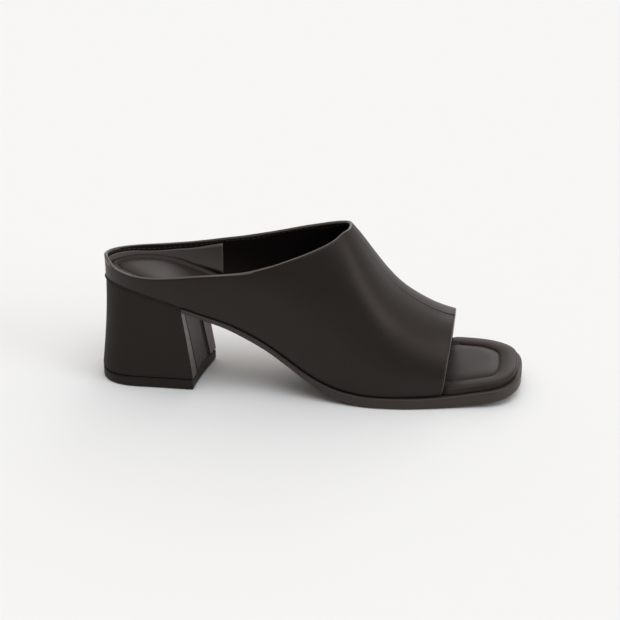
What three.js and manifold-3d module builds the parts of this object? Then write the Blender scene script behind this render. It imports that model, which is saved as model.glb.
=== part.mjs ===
// Open-toed mule sandal with a square toe and a covered block heel, for the right foot.
// Millimetres. +X runs from heel to toe, +Y to the inner side of the foot, +Z up from the floor.
// While the pieces are worked out, x = 0 is the back of the heel seat and y = 0 the heel's middle.
import * as THREE from 'three';
import * as BufferGeometryUtils from 'three/addons/utils/BufferGeometryUtils.js';
import Module from 'manifold-3d';

// Driving sizes of the last
const LAST_LENGTH = 233; // back of the seat to the tip of the insole
const BALL_WIDTH = 77; // feather line to feather line at the ball
const HEEL_HEIGHT = 60; // floor to the seat at the back
const INSTEP_RISE = 85.8; // feather line to the throat
const COLLAR_RISE = 11.4; // feather line to the topline at the back
const TOE_SPRING = 4.5;
const SEAT_ROUND = 38; // length of the rounded back of the seat
const SEAT_SHARPNESS = 1.75; // 2 gives an elliptic back, less a more pointed one
const TOE_ROUND = 21; // length of the rounded corners of the square toe
const TOE_SHARPNESS = 3;
const SECTION_FULLNESS = 2.3; // 2 gives elliptic sections, more gives squarer ones

// Driving sizes of the upper
const WALL = 2;
const THROAT_AT = 138.8; // from the back of the seat
const OPENING_AT = 193.2; // where the toe opening meets the feather lines
const OPENING_BOW = 3.2; // how far its middle lies ahead of its ends
const OPENING_SKEW = 1.2; // how far its inner end lies ahead of its outer end
const SEAM_WIDTH = 2.4;
const SEAM_DEPTH = 0.5;
const FOLD_ROUND = 0.7; // height of the rounded fold on the wall's free edges

// Driving sizes of the sole and the heel
const SOLE_THICKNESS = 6.2;
const SOLE_OUTSET = 2.4; // how far the sole stands out round the toe
const SOLE_BEVEL = 1;
const TOP_PIECE_THICKNESS = 6.2;
const TOP_PIECE_BEVEL = 0.8;
const TOP_PIECE_STEP = 0.2; // how far it lies inside the heel's outline
const HEEL_FLOOR_WIDTH = 42;
const HEEL_STEP = 0.5; // how far the heel lies inside the upper at the seat
const HEEL_FLARE = 3.4; // how far the heel reaches back behind the seat at the floor
const HEEL_FLOOR_ROUND = 24;
const HEEL_FLOOR_FULLNESS = 2.3;
const BREAST_FLOOR = { lateral: 52.9, medial: 58 }; // where the breast stands at the floor
const BREAST_SEAT = { lateral: 47.9, medial: 50.7 }; // where it meets the seat
const BREAST_HOLLOW = { floor: 0.8, seat: 3 };
const PANEL_SHARE = 0.7; // of the breast's width
const PANEL_DROP = 3; // below the seat
const PANEL_THICKNESS = 1.3;
const PANEL_RECESS = 0.6;

// Driving sizes of the insole
const INSOLE_THICKNESS = { seat: 6.7, waist: 4.6, toe: 3.8 };
const CHANNEL_INSET = { seat: 5, toe: 10 };
const CHANNEL_WIDTH = 3.2;
const CHANNEL_DEPTH = 1;
const PAD_SLOPE = 5; // from the channel to the level top of the padding
const INSOLE_ROUND = 1.4;
const INSOLE_FIT = 0.5; // between its edge and the wall round it

const GAP = 0.3; // between neighbouring pieces
const CUT_REACH = 4; // how far a cutting body stands out of what it cuts
const HEEL_BOTTOM = TOP_PIECE_THICKNESS + GAP;
const ROUND_SHARE = 1 - Math.SQRT1_2; // a round's middle, in shares of its radius
const SIDES = { lateral: -1, medial: 1 };

// Fineness of the meshes
const WALL_ROWS = 13;
const OPENING_COLUMNS = 13; // of one side
const FEATHER_COLUMNS = 30;
const INSOLE_COLUMNS = { covered: 46, open: 10 };
const SOLE_COLUMNS = { side: 56, back: 5 };
const HEEL_COLUMNS = { side: 20, breast: 12 };
const HEEL_LEVELS = 6;
const PANEL_CELLS = 10;
const PATH_STEPS = 400; // of a path that is measured

// Rows of a table under the names of its columns
function columns(names, rows) {
  const keys = names.split(' ');
  return rows.map((row) => Object.fromEntries(keys.map((key, i) => [key, row[i]])));
}

// Feather line: distance of each side from the heel's middle line, in shares of BALL_WIDTH
const FEATHER = columns('at lateral medial', [
  [0.000, 0.325, 0.325],
  [0.154, 0.325, 0.325],
  [0.205, 0.334, 0.319],
  [0.256, 0.334, 0.308],
  [0.308, 0.312, 0.291],
  [0.410, 0.284, 0.273],
  [0.513, 0.319, 0.344],
  [0.615, 0.361, 0.500],
  [0.667, 0.374, 0.578],
  [0.726, 0.366, 0.623],
  [0.795, 0.330, 0.631],
  [0.855, 0.290, 0.606],
  [0.915, 0.252, 0.550],
  [1.010, 0.215, 0.446],
]);

// Sole: height of its underside in shares of HEEL_HEIGHT, its thickness in shares of
// SOLE_THICKNESS, its lift in shares of TOE_SPRING and its outset in shares of SOLE_OUTSET
const SOLE = columns('at under thickness spring outset', [
  [0.000, 0.948, 0.50, 0.00, 0.4],
  [0.051, 0.945, 0.50, 0.00, 0.4],
  [0.103, 0.921, 0.50, 0.00, 0.4],
  [0.154, 0.880, 0.50, 0.00, 0.4],
  [0.205, 0.823, 0.46, 0.00, 0.4],
  [0.256, 0.761, 0.44, 0.00, 0.4],
  [0.308, 0.681, 0.50, 0.00, 0.4],
  [0.359, 0.571, 0.60, 0.00, 0.4],
  [0.410, 0.447, 0.64, 0.00, 0.4],
  [0.462, 0.303, 0.68, 0.00, 0.4],
  [0.513, 0.165, 0.75, 0.00, 0.4],
  [0.564, 0.066, 0.85, 0.00, 0.5],
  [0.615, 0.016, 0.95, 0.00, 0.6],
  [0.667, 0.000, 1.00, 0.00, 0.6],
  [0.780, 0.000, 1.02, 0.00, 0.7],
  [0.855, 0.000, 1.12, 0.12, 0.8],
  [0.915, 0.000, 1.20, 0.37, 0.9],
  [0.966, 0.000, 1.20, 0.68, 1.0],
  [1.010, 0.000, 1.20, 1.00, 1.0],
]);

// Sections of the last: rise of the crest over the feather line in shares of INSTEP_RISE, its
// place across and the bulge of each wall in shares of BALL_WIDTH; behind the throat the crest
// is the foot's own, and the wall stops below it
const SECTIONS = columns('at crest middle lateral medial', [
  [0.000, 0.514, 0.000, 0.000, 0.000],
  [0.154, 0.608, 0.006, 0.015, 0.015],
  [0.308, 0.818, 0.020, 0.050, 0.055],
  [0.410, 1.008, 0.030, 0.070, 0.080],
  [0.487, 1.099, 0.040, 0.060, 0.075],
  [0.538, 1.079, 0.048, 0.045, 0.060],
  [0.596, 1.000, 0.060, 0.030, 0.045],
  [0.627, 0.892, 0.075, 0.025, 0.035],
  [0.666, 0.735, 0.095, 0.022, 0.028],
  [0.705, 0.599, 0.115, 0.020, 0.022],
  [0.744, 0.512, 0.132, 0.020, 0.020],
  [0.782, 0.447, 0.146, 0.020, 0.020],
  [0.821, 0.396, 0.156, 0.020, 0.020],
  [0.850, 0.374, 0.160, 0.020, 0.020],
]);

// Topline: its climb from COLLAR_RISE to INSTEP_RISE, places in shares of THROAT_AT
const TOPLINE = columns('at lateral medial', [
  [0.000, 0.010, 0.010],
  [0.070, -0.041, 0.004],
  [0.130, -0.043, -0.008],
  [0.174, -0.030, -0.004],
  [0.261, 0.016, 0.036],
  [0.348, 0.090, 0.107],
  [0.435, 0.167, 0.198],
  [0.522, 0.240, 0.287],
  [0.609, 0.341, 0.396],
  [0.696, 0.482, 0.551],
  [0.783, 0.652, 0.706],
  [0.870, 0.817, 0.846],
  [0.930, 0.915, 0.928],
  [0.957, 0.958, 0.954],
  [0.976, 0.992, 0.974],
  [1.000, 1.000, 1.000],
]);

// Smooth curve through one column of a table that never overshoots its rows
function curve(table, name) {
  const slopes = table.map((row, i) => {
    if (i === 0 || i === table.length - 1) return 0;
    const back = row.at - table[i - 1].at;
    const ahead = table[i + 1].at - row.at;
    const rising = (row[name] - table[i - 1][name]) / back;
    const next = (table[i + 1][name] - row[name]) / ahead;
    if (rising * next <= 0) return 0;
    const middle = (rising * ahead + next * back) / (back + ahead);
    return Math.sign(rising) * Math.min(2 * Math.abs(rising), 2 * Math.abs(next), Math.abs(middle));
  });
  return (at) => {
    const found = table.findIndex((row) => row.at > at);
    const i = found < 0 ? table.length - 2 : Math.max(found - 1, 0);
    const span = table[i + 1].at - table[i].at;
    const t = THREE.MathUtils.clamp((at - table[i].at) / span, 0, 1);
    const low = table[i][name] * (1 + 2 * t) + slopes[i] * span * t;
    const high = table[i + 1][name] * (3 - 2 * t) - slopes[i + 1] * span * (1 - t);
    return low * (1 - t) ** 2 + high * t ** 2;
  };
}

const feather = { lateral: curve(FEATHER, 'lateral'), medial: curve(FEATHER, 'medial') };
const underShare = curve(SOLE, 'under');
const thicknessShare = curve(SOLE, 'thickness');
const springShare = curve(SOLE, 'spring');
const outsetShare = curve(SOLE, 'outset');
const crestShare = curve(SECTIONS, 'crest');
const middleShare = curve(SECTIONS, 'middle');
const bulgeShare = { lateral: curve(SECTIONS, 'lateral'), medial: curve(SECTIONS, 'medial') };
const climb = { lateral: curve(TOPLINE, 'lateral'), medial: curve(TOPLINE, 'medial') };

// Height of the sole's underside and of the seat surface that the upper and insole stand on
function underHeight(x) {
  const at = x / LAST_LENGTH;
  return HEEL_HEIGHT * underShare(at) + TOE_SPRING * springShare(at);
}
function seatHeight(x) {
  return underHeight(x) + SOLE_THICKNESS * thicknessShare(x / LAST_LENGTH);
}

// Quarter of a rounded end: 0 at the very end, 1 once the round is over
function roundedEnd(distance, length, power) {
  const left = THREE.MathUtils.clamp(1 - distance / length, 0, 1);
  return (1 - left ** power) ** (1 / power);
}

// Feather line of one side, in y
function featherEdge(side, x) {
  const middle = BALL_WIDTH * middleShare(x / LAST_LENGTH);
  const straight = SIDES[side] * BALL_WIDTH * feather[side](x / LAST_LENGTH);
  const heel = straight * roundedEnd(x, SEAT_ROUND, SEAT_SHARPNESS);
  return middle + (heel - middle) * roundedEnd(LAST_LENGTH - x, TOE_ROUND, TOE_SHARPNESS);
}

// Point of the feather line at share s of the way from heel to tip, moved out by shift(x)
function featherPoint(side, s, shift) {
  const on = (share) => {
    const mirrored = share < 0 || share > 1;
    const clamped = share < 0 ? -share : share > 1 ? 2 - share : share;
    const x = LAST_LENGTH * (1 - Math.cos(Math.PI * clamped)) / 2;
    const across = mirrored ? (side === 'lateral' ? 'medial' : 'lateral') : side;
    return new THREE.Vector2(x, featherEdge(across, x));
  };
  const step = 1 / PATH_STEPS;
  const point = on(s);
  const along = on(s + step).sub(on(s - step)).normalize();
  const out = new THREE.Vector2(-along.y, along.x).multiplyScalar(SIDES[side]);
  return point.addScaledVector(out, shift(point.x));
}

// Values of s that divide a path evenly by length
function evenShares(pathPoint, from, to, count) {
  const lengths = [0];
  let last = pathPoint(from);
  for (let i = 1; i <= PATH_STEPS; i++) {
    const next = pathPoint(from + (to - from) * i / PATH_STEPS);
    lengths.push(lengths[i - 1] + next.distanceTo(last));
    last = next;
  }
  return Array.from({ length: count + 1 }, (_, i) => {
    const wanted = lengths[PATH_STEPS] * i / count;
    const k = Math.min(lengths.findIndex((length) => length >= wanted - 1e-9), PATH_STEPS);
    const back = Math.max(k - 1, 0);
    const piece = lengths[k] - lengths[back] || 1;
    const share = back + (k > back ? (wanted - lengths[back]) / piece : 0);
    return from + (to - from) * share / PATH_STEPS;
  });
}

// Share s at which the unshifted feather line of a side reaches x
const shareAt = (x) => Math.acos(1 - 2 * x / LAST_LENGTH) / Math.PI;

// Closed body from rings of points joined one to the next; caps gives the faces of an end ring
function ringBody(rings, caps) {
  const count = rings[0].length;
  const faces = [];
  for (let r = 0; r + 1 < rings.length; r++) {
    for (let i = 0; i < count; i++) {
      const [a, b] = [r * count + i, r * count + (i + 1) % count];
      faces.push(a, b, b + count, a, b + count, a + count);
    }
  }
  for (const [ring, turned] of [[0, true], [rings.length - 1, false]]) {
    for (const face of caps(rings[ring])) {
      const corners = turned ? [...face].reverse() : face;
      faces.push(...corners.map((corner) => ring * count + corner));
    }
  }
  return closedGeometry(rings.flat(), faces);
}

// Caps as strips across the loop, from each point to its mate on the other side
function stripCaps(ring) {
  const count = ring.length;
  return ring.slice(0, count / 2).flatMap((_, i) => {
    const [a, b, c, d] = [i, i + 1, (count - i - 1) % count, (count - i) % count];
    return [[a, b, c], [a, c, d]];
  });
}

// Flat caps of any outline
function flatCaps(ring) {
  return THREE.ShapeUtils.triangulateShape(ring.map(({ x, y }) => new THREE.Vector2(x, y)), []);
}

// Closed body between two grids of the same shape, edge to edge
function slabBody(front, back) {
  const rows = front.length;
  const width = front[0].length;
  const points = [...front.flat(), ...back.flat()];
  const faces = [];
  const at = (layer, r, c) => layer * rows * width + r * width + c;
  const quad = (a, b, c, d) => faces.push(a, b, c, a, c, d);
  for (let r = 0; r + 1 < rows; r++) {
    for (let c = 0; c + 1 < width; c++) {
      quad(at(0, r, c), at(0, r, c + 1), at(0, r + 1, c + 1), at(0, r + 1, c));
      quad(at(1, r, c), at(1, r + 1, c), at(1, r + 1, c + 1), at(1, r, c + 1));
    }
    quad(at(0, r, 0), at(0, r + 1, 0), at(1, r + 1, 0), at(1, r, 0));
    quad(at(0, r + 1, width - 1), at(0, r, width - 1), at(1, r, width - 1), at(1, r + 1, width - 1));
  }
  for (let c = 0; c + 1 < width; c++) {
    quad(at(0, 0, c + 1), at(0, 0, c), at(1, 0, c), at(1, 0, c + 1));
    quad(at(0, rows - 1, c), at(0, rows - 1, c + 1), at(1, rows - 1, c + 1), at(1, rows - 1, c));
  }
  return closedGeometry(points, faces);
}

// Indexed geometry with merged points, no flat slivers and its faces turned outward
function closedGeometry(points, faces) {
  const flat = new THREE.BufferGeometry();
  flat.setAttribute('position', new THREE.Float32BufferAttribute(points.flatMap((p) => p.toArray()), 3));
  flat.setIndex(faces);
  const merged = BufferGeometryUtils.mergeVertices(flat, 1e-3);
  const index = merged.getIndex().array;
  const corner = (i) => new THREE.Vector3().fromBufferAttribute(merged.getAttribute('position'), i);
  const kept = [];
  let volume = 0;
  for (let i = 0; i < index.length; i += 3) {
    const [a, b, c] = index.subarray(i, i + 3);
    if (a === b || b === c || c === a) continue;
    kept.push([a, b, c]);
    volume += corner(a).dot(corner(b).cross(corner(c)));
  }
  if (volume < 0) kept.forEach((face) => face.reverse());
  merged.setIndex(kept.flat());
  merged.computeVertexNormals();
  return merged;
}

// The last's surface: turn runs from -1 at the lateral feather line over 0 at the crest to 1
function lastPoint(x, turn) {
  const at = x / LAST_LENGTH;
  const side = turn < 0 ? 'lateral' : 'medial';
  const angle = (1 - Math.abs(turn)) * Math.PI / 2;
  const out = Math.cos(angle) ** (2 / SECTION_FULLNESS);
  const up = Math.sin(angle) ** (2 / SECTION_FULLNESS);
  const middle = BALL_WIDTH * middleShare(at);
  const unit = 27 / 4; // brings the highest value of the next line's product to 1
  const belly = unit * up * (1 - up) ** 2 * roundedEnd(x, SEAT_ROUND, SEAT_SHARPNESS);
  const y = middle + (featherEdge(side, x) - middle) * out
    + SIDES[side] * BALL_WIDTH * bulgeShare[side](at) * belly;
  return new THREE.Vector3(x, y, seatHeight(x) + GAP + INSTEP_RISE * crestShare(at) * up);
}

// Turn at which the topline crosses the section at x
function toplineTurn(side, x) {
  const rise = COLLAR_RISE + (INSTEP_RISE - COLLAR_RISE) * climb[side](x / THROAT_AT);
  const up = Math.min(rise / (INSTEP_RISE * crestShare(x / LAST_LENGTH)), 1);
  const angle = Math.asin(up ** (SECTION_FULLNESS / 2));
  return SIDES[side] * (1 - angle / (Math.PI / 2));
}

// Place of the toe opening's edge at a turn
const openingX = (turn) => OPENING_AT + OPENING_SKEW * turn + OPENING_BOW * (1 - turn * turn);

// Ends of the wall's columns on one side: each runs from the topline to the toe opening's edge
// or to the feather line, from the seam at the throat to the back of the seat
function wallColumns(side) {
  const top = (s) => {
    const x = THROAT_AT * (1 + Math.cos(Math.PI * s)) / 2;
    return [x, toplineTurn(side, x)];
  };
  const opening = (s) => [openingX(SIDES[side] * s), SIDES[side] * s];
  const foot = (s) => [openingX(SIDES[side]) * (1 + Math.cos(Math.PI * s)) / 2, SIDES[side]];
  const seamShare = (path) => {
    let s = 0;
    while (lastPoint(...path(s)).distanceTo(lastPoint(...path(0))) < SEAM_WIDTH / 2) s += 1 / PATH_STEPS;
    return s;
  };
  const spread = (path, from, count) => {
    const shares = evenShares((s) => lastPoint(...path(s)), from, 1, count);
    return shares.map((s) => path(s));
  };
  const openingEnds = spread(opening, seamShare(opening), OPENING_COLUMNS);
  const footEnds = spread(foot, 0, FEATHER_COLUMNS).slice(1);
  const topEnds = spread(top, seamShare(top), OPENING_COLUMNS + FEATHER_COLUMNS);
  const lower = [...openingEnds, ...footEnds];
  return [[top(0), opening(0)], ...topEnds.map((end, i) => [end, lower[i]])];
}

function upperGeometry() {
  const rows = WALL_ROWS;
  const lateral = wallColumns('lateral');
  const medial = wallColumns('medial');
  const ends = [...lateral, ...medial.slice(1, -1).reverse()];
  const count = ends.length;
  const onFeather = (c) => Math.min(c, count - c) > OPENING_COLUMNS + 1;
  const outer = ends.map(([top, low]) => Array.from({ length: rows + 1 }, (_, r) => {
    const share = r / rows;
    return lastPoint(
      THREE.MathUtils.lerp(top[0], low[0], share),
      THREE.MathUtils.lerp(top[1], low[1], share),
    );
  }));
  const inner = outer.map((column, c) => column.map((point, r) => {
    const around = outer[(c + 1) % count][r].clone().sub(outer[(c + count - 1) % count][r]);
    const down = column[Math.min(r + 1, rows)].clone().sub(column[Math.max(r - 1, 0)]);
    const inward = down.cross(around).normalize().multiplyScalar(WALL);
    if (r < rows || !onFeather(c)) return point.clone().add(inward);
    const foot = inward.setZ(0).setLength(WALL).add(point);
    return foot.setZ(seatHeight(foot.x) + GAP);
  }));
  // The seam sinks a little into the wall along the crest
  outer[0] = outer[0].map((point, r) => point.clone().lerp(inner[0][r], SEAM_DEPTH / WALL));
  // A fold rounds the topline and the toe opening's edge; on the sole the wall is cut flat
  const fold = (c, edge, next) => {
    const lift = outer[c][edge].clone().sub(outer[c][next]).setLength(FOLD_ROUND);
    return outer[c][edge].clone().lerp(inner[c][edge], 0.5).add(lift);
  };
  const points = [];
  const loops = [];
  const addLoop = (loop) => loops.push(loop.map((point) => points.push(point) - 1));
  for (let r = 0; r <= rows; r++) addLoop(outer.map((column) => column[r]));
  addLoop(outer.map((column, c) => (
    onFeather(c) ? column[rows].clone().lerp(inner[c][rows], 0.5) : fold(c, rows, rows - 1)
  )));
  for (let r = rows; r >= 0; r--) addLoop(inner.map((column) => column[r]));
  addLoop(outer.map((column, c) => fold(c, 0, 1)));
  const faces = [];
  loops.forEach((loop, k) => {
    const next = loops[(k + 1) % loops.length];
    loop.forEach((point, c) => {
      const d = (c + 1) % count;
      faces.push(point, loop[d], next[d], point, next[d], next[c]);
    });
  });
  return closedGeometry(points, faces);
}

// Insole: it fills the upper, and ahead of the toe opening it widens to the feather line
function insoleGeometry() {
  const narrow = (side) => openingX(SIDES[side]) + 2 * GAP;
  const wide = (side) => narrow(side) + WALL;
  const inset = (side) => (x) => {
    const free = THREE.MathUtils.clamp((x - narrow(side)) / WALL, 0, 1);
    return (WALL + INSOLE_FIT) * (free - 1);
  };
  const thickness = (x) => {
    const toWaist = THREE.MathUtils.smoothstep(x, SEAT_ROUND, LAST_LENGTH / 2);
    const toToe = THREE.MathUtils.smoothstep(x, LAST_LENGTH / 2, OPENING_AT);
    const heel = THREE.MathUtils.lerp(INSOLE_THICKNESS.seat, INSOLE_THICKNESS.waist, toWaist);
    return THREE.MathUtils.lerp(heel, INSOLE_THICKNESS.toe, toToe);
  };
  const channel = (x) => {
    const toToe = THREE.MathUtils.smoothstep(x, THROAT_AT, OPENING_AT);
    return THREE.MathUtils.lerp(CHANNEL_INSET.seat, CHANNEL_INSET.toe, toToe);
  };
  const shares = {};
  for (const side of Object.keys(SIDES)) {
    const path = (s) => featherPoint(side, s, () => 0);
    shares[side] = [
      ...evenShares(path, 0, shareAt(narrow(side)), INSOLE_COLUMNS.covered),
      ...evenShares(path, shareAt(wide(side)), 1, INSOLE_COLUMNS.open),
    ];
  }
  // A ring lies depth(x) inside the insole's edge and drop below its top, or above its underside
  const ring = (depth, height) => {
    const place = (side, s) => {
      const flat = featherPoint(side, s, (x) => inset(side)(x) - depth(x));
      return new THREE.Vector3(flat.x, flat.y, seatHeight(flat.x) + GAP + height(flat.x));
    };
    const lateral = shares.lateral.map((s) => place('lateral', s));
    const medial = shares.medial.map((s) => place('medial', s));
    return [...lateral, ...medial.slice(1, -1).reverse()];
  };
  const below = (drop) => (x) => thickness(x) - drop;
  return ringBody([
    ring(() => 0, () => 0),
    ring(() => 0, below(INSOLE_ROUND)),
    ring(() => INSOLE_ROUND * ROUND_SHARE, below(INSOLE_ROUND * ROUND_SHARE)),
    ring(() => INSOLE_ROUND, below(0)),
    ring((x) => channel(x) - CHANNEL_WIDTH / 2, below(0)),
    ring(channel, below(CHANNEL_DEPTH)),
    ring((x) => channel(x) + CHANNEL_WIDTH / 2, below(CHANNEL_DEPTH * ROUND_SHARE)),
    ring((x) => channel(x) + PAD_SLOPE, below(0)),
  ], stripCaps);
}

// Breast of the heel: p runs from -1 at the lateral corner to 1 at the medial one
function breastPoint(p, z) {
  const corner = (side) => {
    const rise = (z - HEEL_BOTTOM) / (seatHeight(BREAST_SEAT[side]) - HEEL_BOTTOM);
    const floorX = BREAST_FLOOR[side];
    const seatX = BREAST_SEAT[side];
    const x = THREE.MathUtils.lerp(floorX, seatX, rise);
    const floorY = SIDES[side] * HEEL_FLOOR_WIDTH / 2;
    const seatY = featherEdge(side, seatX) - SIDES[side] * HEEL_STEP;
    const spread = 1 - Math.cos(THREE.MathUtils.clamp(rise, 0, 1) * Math.PI / 2);
    return new THREE.Vector3(x, THREE.MathUtils.lerp(floorY, seatY, spread), rise);
  };
  const lateral = corner('lateral');
  const medial = corner('medial');
  const point = lateral.lerp(medial, (p + 1) / 2);
  const hollow = THREE.MathUtils.lerp(BREAST_HOLLOW.floor, BREAST_HOLLOW.seat, point.z);
  return new THREE.Vector3(point.x - hollow * (1 - p * p), point.y, z);
}

// Place of the breast along X at a given y and height
function breastAt(y, z) {
  const p = THREE.MathUtils.mapLinear(y, breastPoint(-1, z).y, breastPoint(1, z).y, -1, 1);
  return breastPoint(p, z).x;
}

// Outline of the heel at the floor, from its back to the breast's corner
function heelFloorPoint(side, s) {
  const floorX = BREAST_FLOOR[side];
  const x = -HEEL_FLARE + (floorX + HEEL_FLARE) * (1 - Math.cos(Math.PI * s / 2));
  const round = roundedEnd(x + HEEL_FLARE, HEEL_FLOOR_ROUND, HEEL_FLOOR_FULLNESS);
  return new THREE.Vector2(x, SIDES[side] * HEEL_FLOOR_WIDTH / 2 * round);
}

// Heel without its panel: rings from the top piece up to the seat
function heelGeometry() {
  const { side: sideCount, breast: breastCount } = HEEL_COLUMNS;
  const sides = {};
  for (const side of Object.keys(SIDES)) {
    const seatShare = shareAt(BREAST_SEAT[side]);
    const onSeat = (s) => featherPoint(side, s, () => -HEEL_STEP);
    const onFloor = (s) => heelFloorPoint(side, s);
    const seatShares = evenShares(onSeat, 0, seatShare, sideCount);
    const floorShares = evenShares(onFloor, 0, 1, sideCount);
    sides[side] = seatShares.map((s, i) => ({ seat: onSeat(s), floor: onFloor(floorShares[i]) }));
  }
  const rings = Array.from({ length: HEEL_LEVELS + 1 }, (_, r) => {
    const level = r / HEEL_LEVELS;
    const side = (name) => sides[name].map(({ seat, floor }, i) => {
      const back = Math.sin(level * Math.PI / 2);
      const ease = THREE.MathUtils.lerp(back, level, i / sideCount);
      const x = THREE.MathUtils.lerp(floor.x, seat.x, ease);
      const y = THREE.MathUtils.lerp(floor.y, seat.y, 1 - Math.cos(level * Math.PI / 2));
      return new THREE.Vector3(x, y, THREE.MathUtils.lerp(HEEL_BOTTOM, seatHeight(seat.x), level));
    });
    const lateral = side('lateral');
    const medial = side('medial');
    const breast = [];
    for (let i = 1; i < breastCount; i++) {
      const p = 2 * i / breastCount - 1;
      const z = THREE.MathUtils.lerp(lateral[sideCount].z, medial[sideCount].z, i / breastCount);
      breast.push(breastPoint(p, z));
    }
    return [...lateral, ...breast, ...medial.slice(1).reverse()];
  });
  return ringBody(rings, flatCaps);
}

function topPieceGeometry() {
  const { side: sideCount, breast: breastCount } = HEEL_COLUMNS;
  const outline = (shrink, z) => {
    const side = (name) => evenShares((s) => heelFloorPoint(name, s), 0, 1, sideCount)
      .map((s) => heelFloorPoint(name, s));
    const lateral = side('lateral');
    const medial = side('medial');
    const breast = [];
    for (let i = 1; i < breastCount; i++) {
      const point = breastPoint(2 * i / breastCount - 1, HEEL_BOTTOM);
      breast.push(new THREE.Vector2(point.x, point.y));
    }
    const loop = [...lateral, ...breast, ...medial.slice(1).reverse()];
    const centre = new THREE.Vector2((BREAST_FLOOR.lateral - HEEL_FLARE) / 2, 0);
    return loop.map((point) => {
      const inward = centre.clone().sub(point).setLength(shrink);
      return new THREE.Vector3(point.x + inward.x, point.y + inward.y, z);
    });
  };
  return ringBody([
    outline(TOP_PIECE_STEP + TOP_PIECE_BEVEL, 0),
    outline(TOP_PIECE_STEP, TOP_PIECE_BEVEL),
    outline(TOP_PIECE_STEP, TOP_PIECE_THICKNESS),
  ], flatCaps);
}

// Panel let into the breast; grown by a clearance it is also the pocket that holds it
function breastPanelGeometry(grow, lift) {
  const cells = PANEL_CELLS;
  const reach = PANEL_SHARE + 2 * grow / HEEL_FLOOR_WIDTH;
  const bottom = HEEL_BOTTOM + GAP - grow;
  const top = seatHeight(BREAST_SEAT.medial) - PANEL_DROP + grow;
  const place = (r, c) => {
    return breastPoint(reach * (2 * c / cells - 1), THREE.MathUtils.lerp(bottom, top, r / cells));
  };
  const layer = (depth) => Array.from({ length: cells + 1 }, (_, r) => (
    Array.from({ length: cells + 1 }, (_, c) => place(r, c).sub(new THREE.Vector3(depth, 0, 0)))
  ));
  return slabBody(layer(PANEL_RECESS - lift), layer(PANEL_RECESS + PANEL_THICKNESS + grow));
}

// Outsole: from the breast to the toe tip, its back edge following the breast
function outsoleGeometry() {
  const { side: sideCount, back: backCount } = SOLE_COLUMNS;
  const outset = (x) => SOLE_OUTSET * outsetShare(x / LAST_LENGTH);
  const ring = (inset, height) => {
    const side = (name) => {
      const start = BREAST_SEAT[name];
      const place = (s) => featherPoint(name, s, (x) => outset(x) - inset);
      const run = evenShares(place, shareAt(start), 1, sideCount).map((s) => place(s));
      run[0].x = breastAt(run[0].y, height(start)) + GAP;
      return run;
    };
    const lateral = side('lateral');
    const medial = side('medial');
    const back = [];
    for (let i = 0; i < 2 * backCount; i++) {
      const p = 1 - i / backCount;
      const share = (p + 1) / 2;
      const y = THREE.MathUtils.lerp(lateral[0].y, medial[0].y, share);
      const z = height(THREE.MathUtils.lerp(BREAST_SEAT.lateral, BREAST_SEAT.medial, share));
      back.push(new THREE.Vector2(breastAt(y, z) + GAP, y));
    }
    const loop = [...lateral, ...medial.slice(0, -1).reverse(), ...back.slice(1)];
    const turned = [...loop.slice(-backCount + 1), ...loop.slice(0, -backCount + 1)];
    return turned.map((point) => new THREE.Vector3(point.x, point.y, height(point.x)));
  };
  return ringBody([
    ring(SOLE_BEVEL, underHeight),
    ring(0, (x) => underHeight(x) + SOLE_BEVEL),
    ring(0, (x) => seatHeight(x) - SOLE_BEVEL / 2),
    ring(SOLE_BEVEL / 2, seatHeight),
  ], stripCaps);
}

const wasm = await Module();
wasm.setup();

// Solid for cutting, from a closed geometry
function solid(geometry) {
  return new wasm.Manifold(new wasm.Mesh({
    numProp: 3,
    vertProperties: new Float32Array(geometry.getAttribute('position').array),
    triVerts: new Uint32Array(geometry.getIndex().array),
  }));
}

function cut(body, tool) {
  const mesh = solid(body).subtract(solid(tool)).getMesh();
  const points = [];
  for (let i = 0; i < mesh.vertProperties.length; i += mesh.numProp) {
    points.push(new THREE.Vector3(...mesh.vertProperties.subarray(i, i + 3)));
  }
  return closedGeometry(points, [...mesh.triVerts]);
}

function piece(name, geometry, color, roughness) {
  const mesh = new THREE.Mesh(geometry, new THREE.MeshStandardMaterial({ color, roughness, metalness: 0 }));
  mesh.name = name;
  return mesh;
}

const sandal = new THREE.Group();
const heel = cut(heelGeometry(), breastPanelGeometry(GAP, CUT_REACH));
sandal.add(
  piece('upper', upperGeometry(), 0x1f1c1a, 0.45),
  piece('insole', insoleGeometry(), 0x262120, 0.55),
  piece('outsole', outsoleGeometry(), 0x171615, 0.7),
  piece('heel_block', heel, 0x1f1c1a, 0.45),
  piece('heel_breast_panel', breastPanelGeometry(0, 0), 0x2c2221, 0.5),
  piece('top_piece', topPieceGeometry(), 0x141312, 0.8),
);

// The origin moves to the middle of the bounding box's underside
const box = new THREE.Box3().setFromObject(sandal);
const centre = box.getCenter(new THREE.Vector3());
sandal.position.set(-centre.x, -centre.y, -box.min.z);

export default sandal;
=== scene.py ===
import math

import bmesh
import bpy
from mathutils import Matrix, Vector
from mathutils.bvhtree import BVHTree
from mathutils.kdtree import KDTree


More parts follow.
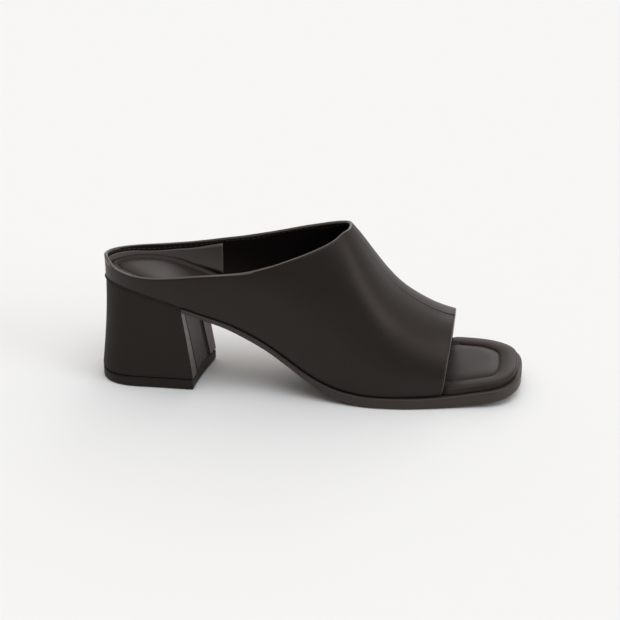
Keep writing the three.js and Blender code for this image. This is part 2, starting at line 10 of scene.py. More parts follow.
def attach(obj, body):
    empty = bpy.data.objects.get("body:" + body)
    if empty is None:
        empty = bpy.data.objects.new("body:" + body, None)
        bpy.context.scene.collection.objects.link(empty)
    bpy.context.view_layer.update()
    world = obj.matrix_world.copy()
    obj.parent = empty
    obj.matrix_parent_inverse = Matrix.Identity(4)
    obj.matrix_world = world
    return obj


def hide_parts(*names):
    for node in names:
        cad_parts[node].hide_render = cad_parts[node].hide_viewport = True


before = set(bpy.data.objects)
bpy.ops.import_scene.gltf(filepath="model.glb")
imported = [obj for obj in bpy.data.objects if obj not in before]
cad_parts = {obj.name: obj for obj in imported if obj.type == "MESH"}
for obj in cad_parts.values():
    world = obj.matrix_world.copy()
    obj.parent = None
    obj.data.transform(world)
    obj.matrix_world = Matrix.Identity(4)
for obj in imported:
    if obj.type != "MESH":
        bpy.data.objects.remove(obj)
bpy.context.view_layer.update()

scene = bpy.context.scene
MM = 0.001

# The setting: the sandal stands on a pale paper floor in a studio, seen a little from above
# on its outer side through a short telephoto lens. The paper runs out of the picture.
AZIMUTH, ELEVATION = math.radians(7.5), math.radians(24)
CAMERA_DISTANCE = 860 * MM
LENS = 85.9
CLIP_START = 10 * MM
TARGET = Vector((-3.9, 20.96, 30)) * MM
PAPER_REACH = 6
PAPER_COLOUR = (0.86, 0.86, 0.86, 1)
SHEEN_TINT = (1, 0.82, 0.72, 1)  # all highlights are a little warm

towards_camera = Vector((
    math.sin(AZIMUTH) * math.cos(ELEVATION),
    -math.cos(AZIMUTH) * math.cos(ELEVATION),
    math.sin(ELEVATION),
))
camera = bpy.data.objects.new("camera", bpy.data.cameras.new("camera"))
camera.data.lens = LENS
camera.data.clip_start = CLIP_START
camera.location = TARGET + towards_camera * CAMERA_DISTANCE
camera.rotation_mode = "QUATERNION"
camera.rotation_quaternion = (-towards_camera).to_track_quat("-Z", "Y")
scene.collection.objects.link(camera)
scene.camera = camera
scene.view_settings.view_transform = "Standard"


def made_of(name, colour, roughness, **gloss):
    """A material with one shader; gloss gives more of the shader's sockets by name"""
    gloss = {"specular_tint": SHEEN_TINT} | gloss
    material = bpy.data.materials.new(name)
    material.use_nodes = True
    shader = material.node_tree.nodes["Principled BSDF"]
    shader.inputs["Base Color"].default_value = (*colour[:3], 1)
    shader.inputs["Roughness"].default_value = roughness
    for key, value in gloss.items():
        socket = key.replace("_", " ").title().replace("Ior", "IOR")
        shader.inputs[socket].default_value = value
    return material


def as_object(bm, name):
    mesh = bpy.data.meshes.new(name)
    bm.to_mesh(mesh)
    bm.free()
    mesh.shade_smooth()
    thing = bpy.data.objects.new(name, mesh)
    scene.collection.objects.link(thing)
    return thing


bm = bmesh.new()
bmesh.ops.create_grid(bm, x_segments=1, y_segments=1, size=PAPER_REACH)
paper = as_object(bm, "paper_floor")
paper.data.materials.append(made_of("paper", PAPER_COLOUR, 1, specular_ior_level=0))

# A dome of light, brightest high up behind the shoe and dark low down on the camera's side
BRIGHT_SIDE = (0.22, 0.5, 0.838)
DOME = [(0.0, 0.12), (0.3, 0.46), (0.6, 0.78), (1.0, 0.92)]  # how far towards it, the light
DOME_TINT = (1, 0.96, 0.91)

world = bpy.data.worlds.new("studio")
world.use_nodes = True
scene.world = world
nodes, links = world.node_tree.nodes, world.node_tree.links
coordinates = nodes.new("ShaderNodeTexCoord")
facing = nodes.new("ShaderNodeVectorMath")
facing.operation = "DOT_PRODUCT"
facing.inputs[1].default_value = BRIGHT_SIDE
dome = nodes.new("ShaderNodeValToRGB")
links.new(coordinates.outputs["Generated"], facing.inputs[0])
links.new(facing.outputs["Value"], dome.inputs[0])
while len(dome.color_ramp.elements) < len(DOME):
    dome.color_ramp.elements.new(0.5)
for element, (at, light) in zip(dome.color_ramp.elements, DOME):
    element.position = at
    element.color = (*(light * warm for warm in DOME_TINT), 1)
links.new(dome.outputs[0], nodes["Background"].inputs["Color"])

# Large soft lights far away, so that the paper is lit evenly: for each its direction and height
# in degrees (0 is the toe's side, 90 behind the shoe), how wide it looks and how strong it is
SOFT_LIGHTS = {
    "overhead": (-60, 70, 50, 1.06),
    "backdrop": (85, 27, 24, 0.22),
    "right": (-20, 22, 30, 0.66),
}
LIGHT_TINT = (0.98, 1.02, 1.08)

for name, (turn, rise, wide, strength) in SOFT_LIGHTS.items():
    lamp = bpy.data.lights.new(name, "SUN")
    lamp.angle = math.radians(wide)
    lamp.energy = strength
    lamp.color = LIGHT_TINT
    light = bpy.data.objects.new(name, lamp)
    turn, rise = math.radians(turn), math.radians(rise)
    level = math.cos(rise)
    towards = Vector((math.cos(turn) * level, math.sin(turn) * level, math.sin(rise)))
    light.location = towards
    light.rotation_mode = "QUATERNION"
    light.rotation_quaternion = (-towards).to_track_quat("-Z", "Y")
    scene.collection.objects.link(light)

# Upper: two halves of smooth black leather, closed by a seam along the instep, with a black
# lining inside. Its free edges are folded over, and it is stretched over the last, so it lies
# smooth but for a few soft hollows. The copy of the solid gets rounder faces and its finish;
# along the folded edges a much lighter colour is a painted highlight.
WELD = 0.001 * MM
LEATHER = (0.0125, 0.0108, 0.0098)
LINING = (0.006, 0.0045, 0.005)
FOLDED_HIGHLIGHT = (0.08, 0.07, 0.061)  # painted highlight: the folded edges are coloured much lighter than the leather, for the bright line along them
LEATHER_FACES, LINING_FACES, PAINTED_HIGHLIGHT_FACES = 0, 1, 2  # the upper's materials, in this order
PORES_PER_CELL = 2.5
CLOUDS = 22 * MM  # how broad the patches of uneven gloss are
GLOSS_SPREAD = 0.06
TINT_SPREAD = (0.8, 1.2)
FOLD_WIDTH, FOLD_ROWS = 1.3 * MM, 3
TOE_EDGE = 70 * MM
FOLD_LEVEL = 60 * MM  # the topline lies above this, the toe opening below
INSIDE = [  # a line through the foot, in millimetres: the faces that look at it are lining
    (-118, -10, 82), (-80, -10, 84), (-40, -10, 80), (0, -7, 60), (30, -4, 30), (90, 0, 18),
]
UPPER_CREASES = [(35, 62, 0.55), (80, 181, 1)]  # angles from and to, how sharp they stay
SEAM_ANGLE = -22  # degrees: the edges in the seam's groove are folded in more than this
SEAM_LIP = {"at": 1.5, "wide": 0.8, "rise": 0.22}  # beside the seam, in millimetres
SEAM_SINK = {"wide": 0.4, "depth": 0.2}
SEAM_STEP, SEAM_REACH = 0.3 * MM, 5
TOPLINE_STEP, TOPLINE_EASE, TOPLINE_FADE = 1, 16, 8  # millimetres
INNER_SIDE = (-6, 14)  # the easing starts at this y and is whole so much further in
BEHIND_THROAT = (26, 40)  # and it starts at this x and is whole so much further back
HOLLOWS = [  # from, to, reach to each side and depth, in millimetres, on the outer side
    ((18, -34, 66), (52, -38, 14), 9, 0.8),
    ((44, -32, 46), (70, -34, 12), 6, 0.3),
    ((-30, -34, 62), (-6, -34, 34), 8, 0.45),
]


def grained(material, colour, roughness, grain, depth):
    """Leather or rubber: fine cells and pores in relief, with slightly uneven colour and gloss"""
    nodes, links = material.node_tree.nodes, material.node_tree.links
    shader = nodes["Principled BSDF"]
    place = nodes.new("ShaderNodeTexCoord").outputs["Object"]
    cells = nodes.new("ShaderNodeTexVoronoi")
    cells.feature = "SMOOTH_F1"
    cells.inputs["Scale"].default_value = 1 / (grain * MM)
    pores = nodes.new("ShaderNodeTexNoise")
    pores.inputs["Scale"].default_value = PORES_PER_CELL / (grain * MM)
    pores.inputs["Detail"].default_value = 3
    clouds = nodes.new("ShaderNodeTexNoise")
    clouds.inputs["Scale"].default_value = 1 / CLOUDS
    clouds.inputs["Detail"].default_value = 2
    for texture in (cells, pores, clouds):
        links.new(place, texture.inputs["Vector"])
    relief = nodes.new("ShaderNodeMath")
    relief.operation = "ADD"
    links.new(cells.outputs["Distance"], relief.inputs[0])
    links.new(pores.outputs[0], relief.inputs[1])
    bump = nodes.new("ShaderNodeBump")
    bump.inputs["Strength"].default_value = 1
    bump.inputs["Distance"].default_value = depth * MM
    links.new(relief.outputs[0], bump.inputs["Height"])
    links.new(bump.outputs["Normal"], shader.inputs["Normal"])
    gloss = nodes.new("ShaderNodeMapRange")
    gloss.inputs["To Min"].default_value = roughness - GLOSS_SPREAD
    gloss.inputs["To Max"].default_value = roughness + GLOSS_SPREAD
    links.new(clouds.outputs[0], gloss.inputs["Value"])
    links.new(gloss.outputs[0], shader.inputs["Roughness"])
    tint = nodes.new("ShaderNodeMix")
    tint.data_type = "RGBA"
    for socket, share in zip("AB", TINT_SPREAD):
        tint.inputs[socket].default_value = (*(share * c for c in colour), 1)
    links.new(pores.outputs[0], tint.inputs["Factor"])
    links.new(tint.outputs["Result"], shader.inputs["Base Color"])
    return material


def leather(name, colour, roughness, grain=0.7, depth=0.012, **gloss):
    """A grained material: the grain's size and the relief's depth are in millimetres"""
    return grained(made_of(name, colour, roughness, **gloss), colour, roughness, grain, depth)


def welded(node):
    """The solid's loose triangles as one closed skin"""
    bm = bmesh.new()
    bm.from_mesh(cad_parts[node].data)
    bmesh.ops.remove_doubles(bm, verts=bm.verts, dist=WELD)
    return bm


def without_diagonals(bm):
    """A skin of regular quads: walks from triangle to triangle to find which edges run alike"""
    bm.faces.ensure_lookup_table()
    run = {edge: i for i, edge in enumerate(bm.faces[0].edges)}
    seen, waiting = {bm.faces[0]}, [bm.faces[0]]
    while waiting:
        face = waiting.pop()
        for shared in face.edges:
            for other in shared.link_faces:
                if other in seen:
                    continue
                seen.add(other)
                waiting.append(other)
                for edge in other.edges:
                    if edge in run:
                        continue
                    corner = next(v for v in edge.verts if v in shared.verts)
                    twin = next(
                        e for e in face.edges if e is not shared and corner not in e.verts
                    )
                    run[edge] = run[twin]
    alike = [[edge for edge in run if run[edge] == i] for i in range(3)]
    diagonals = max(alike, key=lambda edges: sum(e.calc_length() for e in edges) / len(edges))
    bmesh.ops.dissolve_edges(bm, edges=diagonals)


def hold_edges(bm, bands):
    """Creases edges by their angle in degrees: each band is (from, to, crease)"""
    crease = bm.edges.layers.float.new("crease_edge")
    for edge in bm.edges:
        angle = math.degrees(edge.calc_face_angle(0))
        for low, high, held in bands:
            if low <= angle < high:
                edge[crease] = held


def as_mesh(thing):
    """What a piece looks like with its modifiers applied"""
    depsgraph = bpy.context.evaluated_depsgraph_get()
    mesh = bpy.data.meshes.new_from_object(thing.evaluated_get(depsgraph))
    mesh.shade_smooth()
    return mesh


def refined(thing, levels):
    """Rounds the mesh by subdivision, for good"""
    rounder = thing.modifiers.new("rounder", "SUBSURF")
    rounder.levels = rounder.render_levels = levels
    mesh = as_mesh(thing)
    thing.modifiers.clear()
    thing.data = mesh
    mesh.name = thing.name
    return thing


def chains(edges):
    """Runs of edges joined end to end, each as a list of points and whether it is closed"""
    left = set(edges)
    runs = []
    while left:
        ends = {}
        for edge in left:
            for vert in edge.verts:
                ends[vert] = ends.get(vert, 0) + 1
        start = next((v for v in ends if ends[v] == 1), None) or next(iter(left)).verts[0]
        run, vert = [start], start
        while True:
            edge = next((e for e in vert.link_edges if e in left), None)
            if edge is None:
                break
            left.remove(edge)
            vert = edge.other_vert(vert)
            run.append(vert)
        closed = run[0] is run[-1]
        runs.append(([v.co.copy() for v in (run[:-1] if closed else run)], closed))
    return runs


def tree_of(points):
    tree = KDTree(len(points))
    for i, point in enumerate(points):
        tree.insert(point, i)
    tree.balance()
    return tree


def spaced(points, closed, pitch):
    """Points a pitch apart along a run, each with the direction there"""
    line = points + points[:1] if closed else points
    placed, spare = [], 0
    for a, b in zip(line, line[1:]):
        length = (b - a).length
        along = (b - a).normalized()
        while spare < length:
            placed.append((a + along * spare, along))
            spare += pitch
        spare -= length
    return placed


def hill(distance, wide):
    return math.exp(-((distance / wide) ** 2))


def clamped(share):
    return min(max(share, 0), 1)


bm = welded("upper")
without_diagonals(bm)
bm.normal_update()
spine = [Vector(point) * MM for point in INSIDE]
for face in bm.faces:
    middle = face.calc_center_median()
    inside = min(spine, key=lambda point: (point - middle).length)
    for a, b in zip(spine, spine[1:]):
        if a.x <= middle.x < b.x:
            inside = a.lerp(b, (middle.x - a.x) / (b.x - a.x))
    looks_in = face.normal.dot(inside - middle) > 0
    face.material_index = LINING_FACES if looks_in else LEATHER_FACES
turned_in = [e for e in bm.edges if len({f.material_index for f in e.link_faces}) == 2]
topline, _ = max(chains(turned_in), key=lambda run: min(point.z for point in run[0]))
crest, painted_highlight_verts = {}, set()
for vert in {vert for edge in turned_in for vert in edge.verts}:
    across = {vert}
    for _ in range(FOLD_ROWS):
        short = (e for v in across for e in v.link_edges if e.calc_length() < FOLD_WIDTH)
        across |= {v for edge in short for v in edge.verts}
    crest[tuple(vert.co)] = max(across, key=lambda v: v.co.z).co.copy()
    if vert.co.z > FOLD_LEVEL or vert.co.x > TOE_EDGE:
        painted_highlight_verts |= across
topline = [crest[tuple(point)] for point in topline]
# painted highlight: the faces of the folded edges at the topline and the toe opening get the
# lighter colour
for face in bm.faces:
    if all(vert in painted_highlight_verts for vert in face.verts):
        face.material_index = PAINTED_HIGHLIGHT_FACES
seam_edges = [
    e for e in bm.edges
    if math.degrees(e.calc_face_angle_signed(0)) < SEAM_ANGLE
    and all(f.material_index != LINING_FACES for f in e.link_faces)
]
seam, _ = max(chains(seam_edges), key=lambda run: len(run[0]))
hold_edges(bm, UPPER_CREASES)
upper = refined(as_object(bm, "upper_leather"), levels=2)
normals = [v.normal.copy() for v in upper.data.vertices]

# The inner side's topline runs in one easy curve: its heights are evened out along the run
line = [point for point, _ in spaced(topline, True, TOPLINE_STEP * MM)]
reach = round(3 * TOPLINE_EASE / TOPLINE_STEP)
weights = [hill(k * TOPLINE_STEP, TOPLINE_EASE) for k in range(-reach, reach + 1)]
eased_by = []
for i, point in enumerate(line):
    heights = [line[(i + k) % len(line)].z for k in range(-reach, reach + 1)]
    even = sum(w * z for w, z in zip(weights, heights)) / sum(weights)
    inner = clamped((point.y / MM - INNER_SIDE[0]) / INNER_SIDE[1])
    inner *= clamped((BEHIND_THROAT[0] - point.x / MM) / BEHIND_THROAT[1])
    eased_by.append((even - point.z) * inner)
line_tree = tree_of(line)
for vert in upper.data.vertices:
    _, i, away = line_tree.find(vert.co)
    if away < 3 * TOPLINE_FADE * MM:
        vert.co.z += eased_by[i] * hill(away / MM, TOPLINE_FADE)

# The seam gets its lips and its groove, and the outer side its hollows
seam_tree = tree_of([point for point, _ in spaced(seam, False, SEAM_STEP)])
outside = {
    i for face in upper.data.polygons if face.material_index != LINING_FACES
    for i in face.vertices
}
for vert, normal in zip(upper.data.vertices, normals):
    if vert.index not in outside:
        continue
    move = 0
    away = seam_tree.find(vert.co)[2] / MM
    if away < SEAM_REACH:
        move += SEAM_LIP["rise"] * hill(away - SEAM_LIP["at"], SEAM_LIP["wide"])
        move -= SEAM_SINK["depth"] * hill(away, SEAM_SINK["wide"])
    if normal.y < 0:
        for start, end, reach, depth in HOLLOWS:
            start, end = Vector(start) * MM, Vector(end) * MM
            run = end - start
            share = clamped((vert.co - start).dot(run) / run.length_squared)
            spot = vert.co - start.lerp(end, share)
            taper = 1 - (2 * share - 1) ** 2
            move -= depth * taper * hill(Vector((spot.x, spot.z)).length / MM, reach)
    vert.co += normal * move * MM
for material in (
    leather("upper_leather", LEATHER, 0.43, specular_ior_level=0.29),
    leather("lining", LINING, 0.5, grain=0.5, depth=0.006),
    leather("folded_edge_painted_highlight", FOLDED_HIGHLIGHT, 0.3, grain=0.5, depth=0.006),
):
    upper.data.materials.append(material)
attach(upper, "root")
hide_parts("upper")

# Insole: a board with thin padding under smooth black lining leather, wrapped round its edge.
# A pressed channel runs all round it, so that the border outside it stands up as a roll. The
# copy of the solid is subdivided, and its upper side is moved up and down by code.
INSOLE_LEATHER = (0.022, 0.0168, 0.0152)
RIM_ANGLE = 70  # degrees: the edge between the top and the side is sharper than this
INSOLE_CREASES = [(RIM_ANGLE, 181, 1)]
CHANNEL = {"heel": 5, "toe": 10}  # from the edge, in millimetres
CHANNEL_TURNS = (22.8, 77.2)  # where it starts to move inward and where it has arrived
CHANNEL_SINK = {"wide": 0.5, "depth": 0.5}
BORDER_ROLL = {"from": 1, "height": 0.4, "fullness": 0.8}
FIELD_RISE = {"height": 0.35, "reach": 7}
RIM_STEP = 0.4 * MM
FACES_UP = 0.5  # least z of the normal on the upper side


def paired(bm):
    """Joins triangles into quads where they fit"""
    bmesh.ops.join_triangles(
        bm, faces=bm.faces,
        angle_face_threshold=math.pi, angle_shape_threshold=math.pi, topology_influence=1,
    )


def eased(share):
    share = clamped(share)
    return share * share * (3 - 2 * share)


def channel_at(x):
    """How far the channel lies from the edge there, in millimetres"""
    start, end = CHANNEL_TURNS
    moved = eased((x / MM - start) / (end - start))
    return CHANNEL["heel"] + (CHANNEL["toe"] - CHANNEL["heel"]) * moved


def flattened(point):
    return Vector((point.x, point.y, 0))


bm = welded("insole")
paired(bm)
sharp = [e for e in bm.edges if e.calc_face_angle(0) > math.radians(RIM_ANGLE)]
rim, _ = max(chains(sharp), key=lambda run: len(run[0]))
rim = [flattened(point) for point in rim]
rim_tree = tree_of([point for point, _ in spaced(rim, True, RIM_STEP)])
hold_edges(bm, INSOLE_CREASES)
insole = refined(as_object(bm, "insole_leather"), levels=3)
for vert in [vert for vert in insole.data.vertices if vert.normal.z > FACES_UP]:
    edge = rim_tree.find(flattened(vert.co))[2] / MM
    channel = channel_at(vert.co.x)
    inward = edge - channel
    lift = -CHANNEL_SINK["depth"] * hill(inward, CHANNEL_SINK["wide"])
    if BORDER_ROLL["from"] < edge < channel:
        share = (edge - BORDER_ROLL["from"]) / (channel - BORDER_ROLL["from"])
        lift += BORDER_ROLL["height"] * math.sin(math.pi * share) ** BORDER_ROLL["fullness"]
    if inward > 0:
        lift += FIELD_RISE["height"] * eased(inward / FIELD_RISE["reach"])
    vert.co.z += lift * MM
insole.data.materials.append(
    leather("insole_leather", INSOLE_LEATHER, 0.42, grain=0.6, depth=0.008, specular_ior_level=0.2)
)
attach(insole, "root")
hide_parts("insole")

# Stitches of the insole: black thread along the bottom of the pressed channel, which holds
# the leather down on the board. Each stitch is one short rounded thread, half sunk in.
THREAD = (0.03, 0.025, 0.022)
STITCH_PITCH = 3.1 * MM
INSOLE_STITCH = (2.2 * MM, 0.5 * MM)  # how long a stitch is and how thick
CHANNEL_STEP = 0.8 * MM
CHANNEL_SLACK = 0.25  # millimetres nearer to the edge than the channel, at corners
DOWN = Vector((0, 0, -1))
HIGH_ABOVE = Vector((0, 0, 0.2))

thread = leather("thread", THREAD, 0.6, grain=0.3, depth=0.01)


def surface_of(thing, keep=lambda face: True):
    """What rays and nearest points find on a piece"""
    mesh = thing.data
    faces = [list(face.vertices) for face in mesh.polygons if keep(face)]
    return BVHTree.FromPolygons([v.co for v in mesh.vertices], faces)


def sewn(name, marks, length, thick, slot):
    """One short thread at each mark: its place, the surface's normal and the row's direction"""
    bm = bmesh.new()
    size = Matrix.Diagonal((length, thick, thick, 1))
    for place, normal, row in marks:
        along = (row - normal * row.dot(normal)).normalized()
        side = normal.cross(along).normalized()
        turned = Matrix((along, side, normal)).transposed().to_4x4()
        lying = Matrix.Rotation(math.pi / 2, 4, "Y")
        bmesh.ops.create_uvsphere(
            bm, u_segments=6, v_segments=6, radius=0.5,
            matrix=Matrix.Translation(place) @ turned @ size @ lying,
        )
    threads = as_object(bm, name)
    threads.data.materials.append(thread)
    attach(threads, "root")


insole_top = surface_of(insole)
rim_line = spaced(rim, True, CHANNEL_STEP)
centre = sum((point for point, _ in rim_line), Vector()) / len(rim_line)
path = []
for point, along in rim_line:
    inward = Vector((-along.y, along.x, 0))
    if inward.dot(centre - point) < 0:
        inward = -inward
    spot = point + inward * channel_at(point.x) * MM
    if rim_tree.find(spot)[2] > (channel_at(spot.x) - CHANNEL_SLACK) * MM:
        path.append(spot)
marks = []
for spot, along in spaced(path, True, STITCH_PITCH):
    place, normal, _, _ = insole_top.ray_cast(spot + HIGH_ABOVE, DOWN)
    marks.append((place, normal, along))
sewn("insole_stitches", marks, *INSOLE_STITCH, "insole_leather")

# Stitches of the topline: one row of black thread on the lining just under the folded edge,
# all the way round. The places are found by rays from inside the shoe.
TOPLINE_STITCHES = 2.1 * MM  # below the topline
TOPLINE_STITCH = (2 * MM, 0.45 * MM)
HEEL_CENTRE = (-80 * MM, -10 * MM)
INSTEP_DROP, INSTEP_PROBE = 20 * MM, 2 * MM  # over the instep the lining lies further down

lining = surface_of(upper, lambda face: face.material_index == LINING_FACES)


def on_lining(point, down):
    """Place and normal on the lining at a height below a point of the topline"""
    spot = point - Vector((0, 0, down))
    middle = Vector((min(max(spot.x, HEEL_CENTRE[0]), 0), HEEL_CENTRE[1], spot.z))
    if spot.x > 0:
        middle.z -= INSTEP_DROP
        inward = (middle - spot).normalized()
        place, normal, _, _ = lining.find_nearest(spot + inward * INSTEP_PROBE)
    else:
        place, normal, _, _ = lining.ray_cast(middle, (spot - middle).normalized())
    return place, normal


marks = []
for point, along in spaced(topline, True, STITCH_PITCH):
    marks.append((*on_lining(point, TOPLINE_STITCHES), along))
sewn("topline_stitches", marks, *TOPLINE_STITCH, "upper_leather")

# Heel grip: thin satin leather glued on the lining inside the collar, in two strips that end
# in an upright edge at the front and fade out where the collar gets too low. Each is a grid
# laid on the lining column by column and given its thickness.
GRIP = (0.13, 0.113, 0.104)
GRIP_FRONT = -52 * MM
GRIP_TOP = 3.4 * MM  # below the topline
GRIP_THICKNESS = 0.35 * MM
GRIP_SINK = 1.4  # times its thickness: how far its back lies behind its front
GRIP_LEAST, GRIP_TUCK = 0.6 * MM, 0.3 * MM  # what shows of it at least; how far it goes under
GRIP_ROWS = 8
GRIP_STEP, GRIP_NEAREST = 1.5 * MM, 1.2 * MM  # between columns
GRIP_PROBE = 7 * MM
GRIP_BREAK = 3  # columns: a shorter gap in the grip is bridged, a shorter piece left out
JUST_ABOVE = Vector((0, 0, 0.05))

front = max(range(len(topline)), key=lambda i: topline[i].x)
round_heel = []
for point, _ in spaced(topline[front:] + topline[:front], True, GRIP_STEP):
    if not round_heel or (point - round_heel[-1]).length > GRIP_NEAREST:
        round_heel.append(point)
grip_heights = {}
for i, point in enumerate(round_heel):
    if point.x > GRIP_FRONT:
        continue
    place, normal = on_lining(point, GRIP_TOP)
    floor = insole_top.ray_cast(place + normal * GRIP_PROBE + JUST_ABOVE, DOWN)[0]
    if floor and place.z - floor.z > GRIP_LEAST:
        grip_heights[i] = place.z - floor.z + GRIP_TUCK
runs = []
for i in sorted(grip_heights):
    if runs and i - runs[-1][-1] <= GRIP_BREAK:
        for between in range(runs[-1][-1] + 1, i):
            grip_heights[between] = grip_heights[i]
            runs[-1].append(between)
        runs[-1].append(i)
    else:
        runs.append([i])
bm = bmesh.new()
for columns in (run for run in runs if len(run) > GRIP_BREAK):
    last = len(columns) - 1
    made = bmesh.ops.create_grid(bm, x_segments=last, y_segments=GRIP_ROWS, size=0.5)["verts"]
    normals = {}
    for vert in made:
        i = columns[round((vert.co.x + 0.5) * last)]
        down = GRIP_TOP + grip_heights[i] * (vert.co.y + 0.5)
        place, normals[vert] = on_lining(round_heel[i], down)
        vert.co = place + normals[vert] * GRIP_THICKNESS
    faces = list({face for vert in made for face in vert.link_faces})
    grown = bmesh.ops.extrude_face_region(bm, geom=faces, use_keep_orig=True)["geom"]
    for vert in {part for part in grown if part in bm.verts}:
        near = min(made, key=lambda v: (v.co - vert.co).length_squared)
        vert.co -= normals[near] * GRIP_THICKNESS * GRIP_SINK
bmesh.ops.recalc_face_normals(bm, faces=bm.faces)
grip = as_object(bm, "heel_grip")
grip.data.materials.append(leather("satin_grip", GRIP, 0.38, grain=0.5, depth=0.006))
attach(grip, "root")

# Stitches of the seam: the upper's two halves are closed edge to edge along the instep with
# small stitches of black thread, which lie in the groove between them.
SEAM_PITCH = 2.6 * MM
SEAM_STITCH = (1.5 * MM, 0.4 * MM)

outer = surface_of(upper, lambda face: face.material_index == LEATHER_FACES)
marks = []
for point, along in spaced(seam, False, SEAM_PITCH)[1:-1]:
    marks.append((*outer.find_nearest(point)[:2], along))
sewn("seam_stitches", marks, *SEAM_STITCH, "upper_leather")

# Outsole: a thin black rubber sole with bevelled edges, cemented under the shoe from the toe
# to the breast of the heel; its side is buffed to a soft sheen. The copy of the solid gets
# rounder edges by subdivision.
RUBBER = (0.028, 0.0245, 0.022)
SOLE_CREASES = [(30, 181, 0.7)]

bm = welded("outsole")
paired(bm)
hold_edges(bm, SOLE_CREASES)
outsole = refined(as_object(bm, "outsole_rubber"), levels=2)
outsole.data.materials.append(leather("sole_rubber", RUBBER, 0.5, grain=0.35, depth=0.01))
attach(outsole, "root")
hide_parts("outsole")

# Heel: a moulded block with smooth leather drawn round its back and sides, folded over the
# front corners as a strip on each side of the breast, and glued into a groove there. The strips
# are coloured lighter than the rest of the leather: painted light, where light falls on the
# breast.
# The back and sides are copied from the solid; the hollow breast between them is made anew, row by
# row.
HEEL_LEATHER = (0.0225, 0.0192, 0.0173)
# painted light: the strips are the heel's own leather, coloured lighter for the light falling on
# the breast from the right
STRIP_PAINTED_LIGHT = (0.064, 0.05, 0.044)
EDGE_INK = (0.002, 0.0015, 0.0015)
INKED_FACES, PAINTED_LIGHT_STRIP_FACES = 1, 2  # the heel's materials after its leather, in this order
HEEL_MIDDLE = Vector((-90, -10, 0)) * MM
WRAPPED = {"most_level": 0.75, "most_forward": 0.5}  # of a face's normal
UPRIGHT = 0.7  # an upright edge rises by at least so much of its length
BREAST_LEAST = 20 * MM  # the edges across the breast are longer than this
BREAST_HOLLOW = {"floor": 0.8, "seat": 3}  # how deep it is, in millimetres
STRIP = [-1, -0.97, -0.9, -0.75, -0.57, -0.505, -0.495, -0.3, -0.1]  # shares of the half width
STRIP_ENDS = -0.5
POCKET = 2.1  # deeper between the strips, in millimetres
INKED = (0.5, 0.6)  # the cut edges of the strips, which are painted black
HEEL_CREASES = [(38, 181, 0.85)]


def is_wrapped(face):
    """Whether leather goes over a face: the back and sides, without the top and underside"""
    out = face.calc_center_median() - HEEL_MIDDLE
    return (
        abs(face.normal.z) < WRAPPED["most_level"]
        and face.normal.x < WRAPPED["most_forward"]
        and face.normal.x * out.x + face.normal.y * out.y > 0
    )


def off_level(point, ends):
    """How far a point lies from the line across the breast"""
    share = (point.y - ends[0].y) / (ends[1].y - ends[0].y)
    return (ends[0].lerp(ends[1], share) - point).length


def closed_up(bm):
    """Fills the holes and turns all faces outward"""
    bmesh.ops.holes_fill(bm, edges=[edge for edge in bm.edges if edge.is_boundary], sides=0)
    bmesh.ops.recalc_face_normals(bm, faces=bm.faces)


bm = welded("heel_block")
bm.normal_update()
bare = [face for face in bm.faces if not is_wrapped(face)]
bmesh.ops.delete(bm, geom=bare, context="FACES")
without_diagonals(bm)
free = [edge for edge in bm.edges if edge.is_boundary]
upright = [
    e for e in free if abs(e.verts[0].co.z - e.verts[1].co.z) > UPRIGHT * e.calc_length()
]
seat_line, _ = max(
    chains([edge for edge in free if edge not in upright]),
    key=lambda run: sum(point.z for point in run[0]) / len(run[0]),
)
bridge = bmesh.ops.bridge_loops(bm, edges=upright)["edges"]
across = [e for e in bridge if e not in upright and e.calc_length() > BREAST_LEAST]
levels = [sorted((v.co.copy() for v in e.verts), key=lambda co: co.y) for e in across]
levels.sort(key=lambda ends: ends[0].z)
places = STRIP + [-share for share in reversed(STRIP)]
split = bmesh.ops.subdivide_edges(bm, edges=across, cuts=len(places) - 2, use_grid_fill=True)
shares = {}
for vert in {part for part in split["geom_inner"] if isinstance(part, bmesh.types.BMVert)}:
    row = min(range(len(levels)), key=lambda i: off_level(vert.co, levels[i]))
    low, high = levels[row]
    share = places[round((vert.co.y - low.y) / (high.y - low.y) * (len(places) - 1))]
    rise = row / (len(levels) - 1)
    hollow = BREAST_HOLLOW["floor"] + (BREAST_HOLLOW["seat"] - BREAST_HOLLOW["floor"]) * rise
    deeper = POCKET if abs(share) < -STRIP_ENDS else 0
    vert.co = low.lerp(high, (share + 1) / 2)
    vert.co.x -= (hollow * (1 - share**2) + deeper) * MM
    shares[vert] = abs(share)
closed_up(bm)
# the strips' faces get the painted light colour, except the inked band near their cut edges
for face in bm.faces:
    reach = [shares.get(vert, 1) for vert in face.verts]
    if min(reach) < 1:
        is_cut = INKED[0] < min(reach) and max(reach) < INKED[1]
        face.material_index = INKED_FACES if is_cut else PAINTED_LIGHT_STRIP_FACES
hold_edges(bm, HEEL_CREASES)
heel = refined(as_object(bm, "heel_leather"), levels=3)
for material in (
    leather("heel_leather", HEEL_LEATHER, 0.6, specular_ior_level=0.12),
    made_of("edge_ink", EDGE_INK, 0.8, specular_ior_level=0.1),
    leather("folded_strip_painted_light", STRIP_PAINTED_LIGHT, 0.4, grain=0.5, depth=0.008),
):
    heel.data.materials.append(material)
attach(heel, "root")
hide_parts("heel_block")

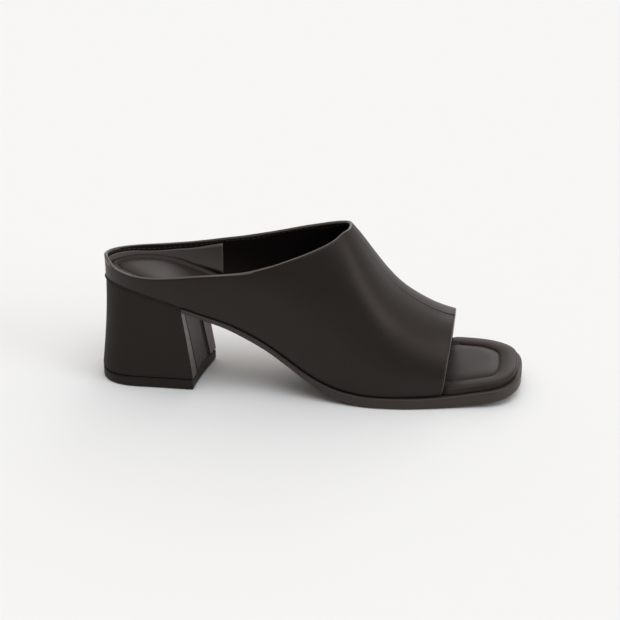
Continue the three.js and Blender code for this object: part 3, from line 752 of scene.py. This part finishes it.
# Heel breast panel: a piece of thin reddish-black leather glued between the two strips. The
# copy of the solid gets softer edges by subdivision.
PANEL = (0.034, 0.019, 0.0175)
PANEL_CREASES = [(60, 181, 0.9)]

bm = welded("heel_breast_panel")
paired(bm)
hold_edges(bm, PANEL_CREASES)
panel = refined(as_object(bm, "breast_panel"), levels=2)
panel.data.materials.append(
    leather("breast_leather", PANEL, 0.45, grain=0.5, depth=0.008, specular_ior_level=0.24)
)
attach(panel, "root")
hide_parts("heel_breast_panel")

# Seat rand: a narrow rolled edge of the heel's leather in the step between the collar and the
# heel. It is a round bead that follows the top outline of the heel block.
RAND = {"thick": 0.8, "out": 0.3, "down": 0.3}  # millimetres

line = bpy.data.curves.new("seat_rand", "CURVE")
line.dimensions = "3D"
run = line.splines.new("POLY")
run.points.add(len(seat_line) - 1)
for spot, point in zip(run.points, seat_line):
    out = flattened(point - HEEL_MIDDLE).normalized()
    spot.co = (*(point + out * RAND["out"] * MM - Vector((0, 0, RAND["down"])) * MM), 1)
line.bevel_depth = RAND["thick"] / 2 * MM
line.bevel_resolution = 3
line.use_fill_caps = True
swept = bpy.data.objects.new("seat_rand", line)
scene.collection.objects.link(swept)
mesh = as_mesh(swept)
bpy.data.objects.remove(swept)
rand = bpy.data.objects.new("seat_rand", mesh)
scene.collection.objects.link(rand)
rand.data.materials.clear()
rand.data.materials.append(heel.data.materials[0])
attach(rand, "root")

# Top piece: hard black rubber under the heel, trimmed flush with the leather above it. The
# side is copied from the solid, closed again above and below, and rounded by subdivision.
TOP_RUBBER = (0.013, 0.0115, 0.0105)
TOP_CREASES = [(30, 181, 0.8)]
LEVEL = 0.9  # least z of a level face's normal

bm = welded("top_piece")
bm.normal_update()
level_faces = [face for face in bm.faces if abs(face.normal.z) > LEVEL]
bmesh.ops.delete(bm, geom=level_faces, context="FACES")
without_diagonals(bm)
closed_up(bm)
hold_edges(bm, TOP_CREASES)
top_piece = refined(as_object(bm, "top_piece_rubber"), levels=2)
top_piece.data.materials.append(
    leather("top_piece_rubber", TOP_RUBBER, 0.55, grain=0.35, depth=0.012, specular_ior_level=0.25)
)
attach(top_piece, "root")
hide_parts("top_piece")
